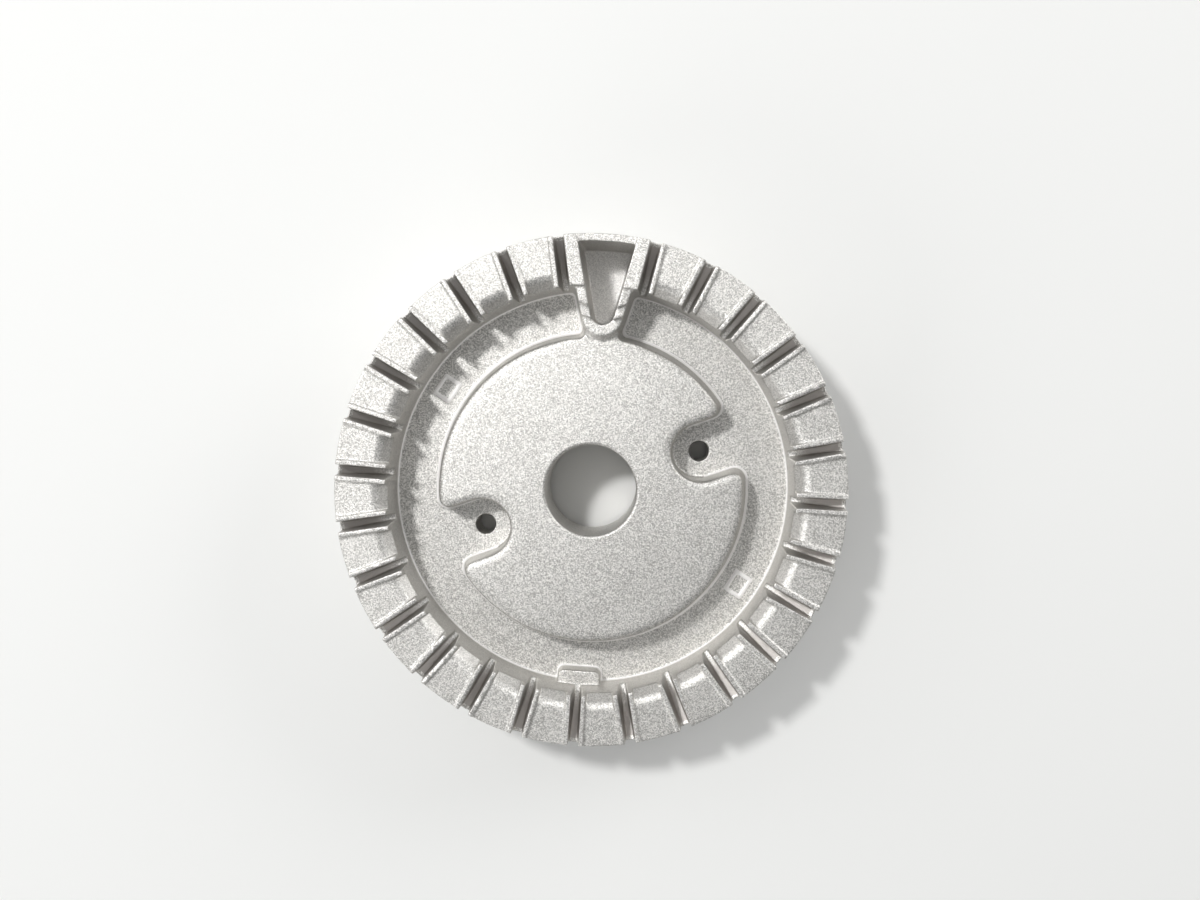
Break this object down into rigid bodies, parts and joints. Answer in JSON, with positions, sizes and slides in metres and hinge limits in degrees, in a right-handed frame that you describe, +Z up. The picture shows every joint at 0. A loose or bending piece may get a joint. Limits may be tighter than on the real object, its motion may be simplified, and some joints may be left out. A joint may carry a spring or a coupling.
{
  "type": "sealed gas burner head",
  "caption": "Round die-cast gas burner head with a slotted rim, a ring-shaped gas chamber, a raised middle with a throat bore and screw notches, and a spark pocket.",
  "frame": {"origin": "centre of the throat bore at the foot of the skirt, which is also the middle of the footprint", "axes": "+Z up out of the cooktop, +Y through the spark pocket, +X to the right when seen from above with the pocket at the top"},
  "size_m": [0.088, 0.088, 0.02],
  "materials": {
    "cast_aluminium": "satin, shot-blasted casting"
  },
  "bodies": {
    "root": {"burner_head": "cast_aluminium"}
  },
  "joints": []
}
